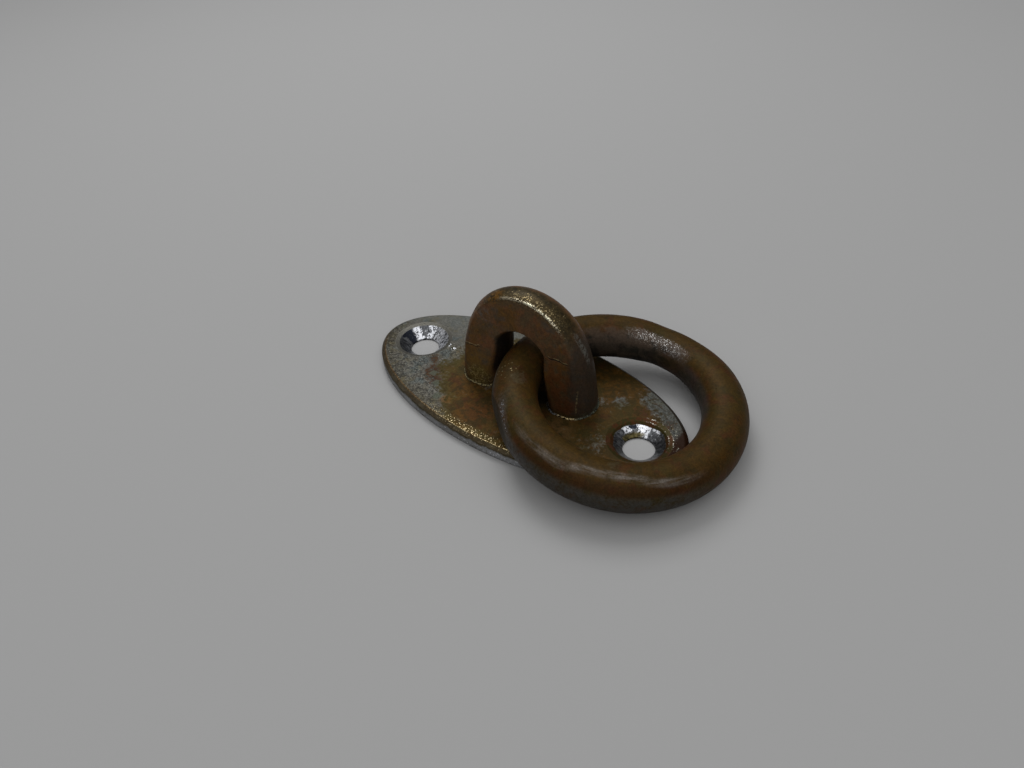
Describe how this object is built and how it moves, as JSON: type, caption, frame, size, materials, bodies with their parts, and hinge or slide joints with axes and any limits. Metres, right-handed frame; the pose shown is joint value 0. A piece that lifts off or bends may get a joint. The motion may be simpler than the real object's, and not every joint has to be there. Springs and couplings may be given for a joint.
{
  "type": "mooring ring",
  "caption": "Oval screw-down plate with an upright eye bent from round bar, holding a loose round ring that a mooring line is tied to.",
  "frame": {"origin": "centre of the plate's flat back face, midway between the two screw holes", "axes": "+Z leaves the deck, +X runs along the plate through both screw holes towards the side that the ring lies on, +Y across the plate"},
  "size_m": [0.0753, 0.0441, 0.0233],
  "materials": {
    "worn_plated_brass": "brown tarnished brass with worn, pitted remains of grey plating and bright rubbed edges",
    "eye_tarnished_brass": "red-brown and golden tarnish, rubbed bright along the crown's edge",
    "ring_tarnished_brass": "tan to golden tarnish, pitted, with grey worn facets"
  },
  "bodies": {
    "plate_and_eye": {"base_plate": "worn_plated_brass", "eye": "eye_tarnished_brass"},
    "ring": {"ring": "ring_tarnished_brass"}
  },
  "joints": [
    {"name": "ring_swing", "type": "hinge", "parent": "plate_and_eye", "child": "ring", "pos_m": [0.0015, 0.00072, 0.0086], "axis": [0.0802, -0.9968, 0], "range_deg": [0, 190.8]}
  ]
}
